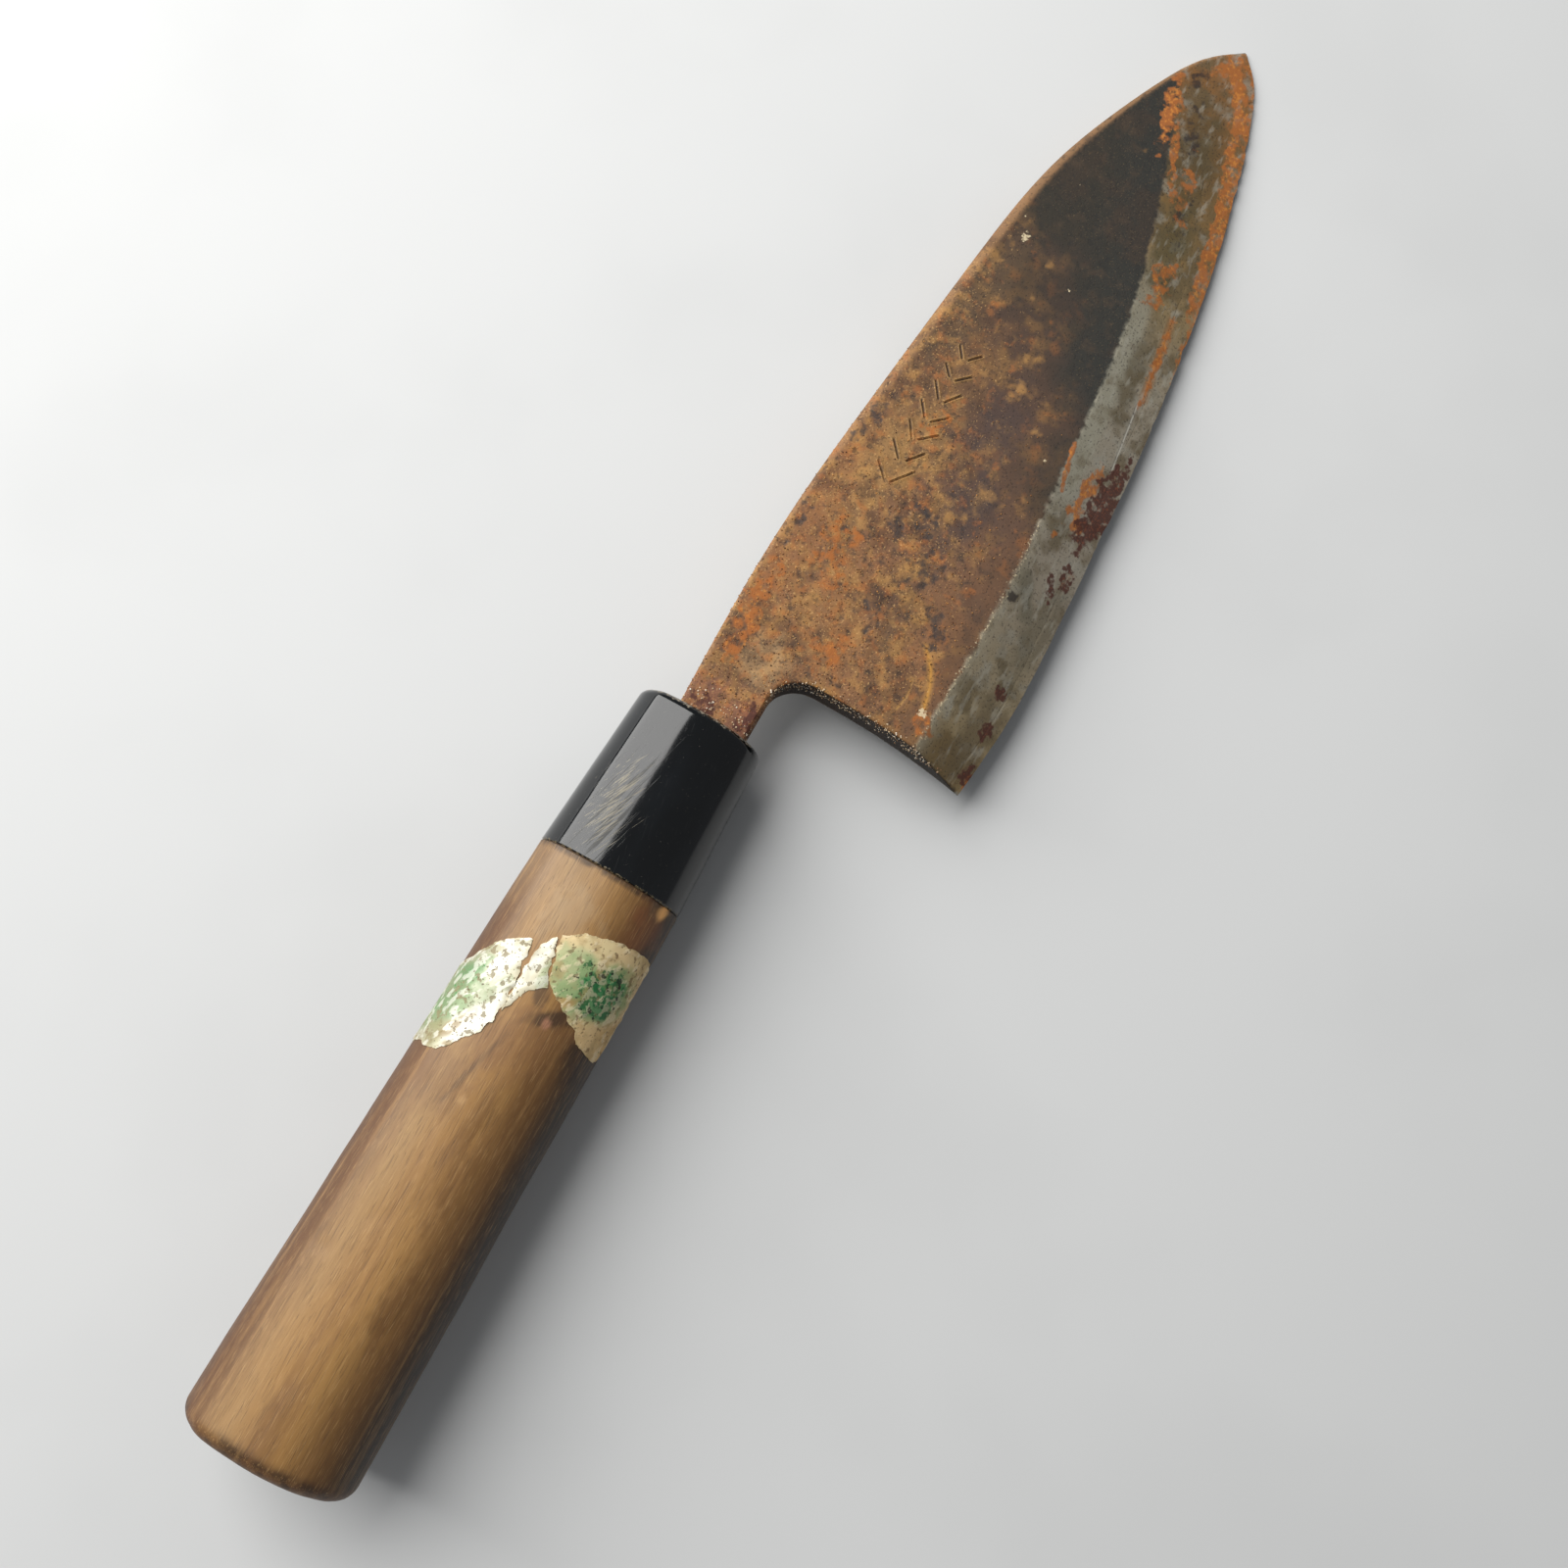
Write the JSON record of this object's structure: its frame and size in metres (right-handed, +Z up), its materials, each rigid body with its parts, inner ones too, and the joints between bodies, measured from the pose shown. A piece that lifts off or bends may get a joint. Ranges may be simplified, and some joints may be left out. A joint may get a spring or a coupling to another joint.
{
  "type": "deba kitchen knife",
  "caption": "Short, thick single-bevel fish and boning knife with a curved choil, black ferrule, chestnut-section wooden grip and torn label, used and rusty.",
  "frame": {"origin": "on the plane under the grip, below the middle of the knife's bounding box", "axes": "+X along the handle axis from the butt to the tip, +Y towards the spine, +Z up out of the bevelled face; the knife lies on its flat side"},
  "size_m": [0.287, 0.057, 0.0225],
  "materials": {
    "blade_iron": "rusted and stained soft iron",
    "blade_steel": "stained carbon steel, rust along the edge",
    "ferrule_black": "glossy, finely scratched",
    "seal_resin": "dull, dirty resin",
    "grip_wood": "oiled by use, satin",
    "label_foil": "torn silvery foil with green flecks",
    "label_paper": "torn paper backing with green flecks"
  },
  "bodies": {
    "root": {"blade_body": "blade_iron", "edge_steel": "blade_steel", "ferrule": "ferrule_black", "tang_seal": "seal_resin", "grip": "grip_wood", "label_spine_side": "label_foil", "label_middle": "label_foil", "label_edge_side": "label_paper"}
  },
  "joints": []
}
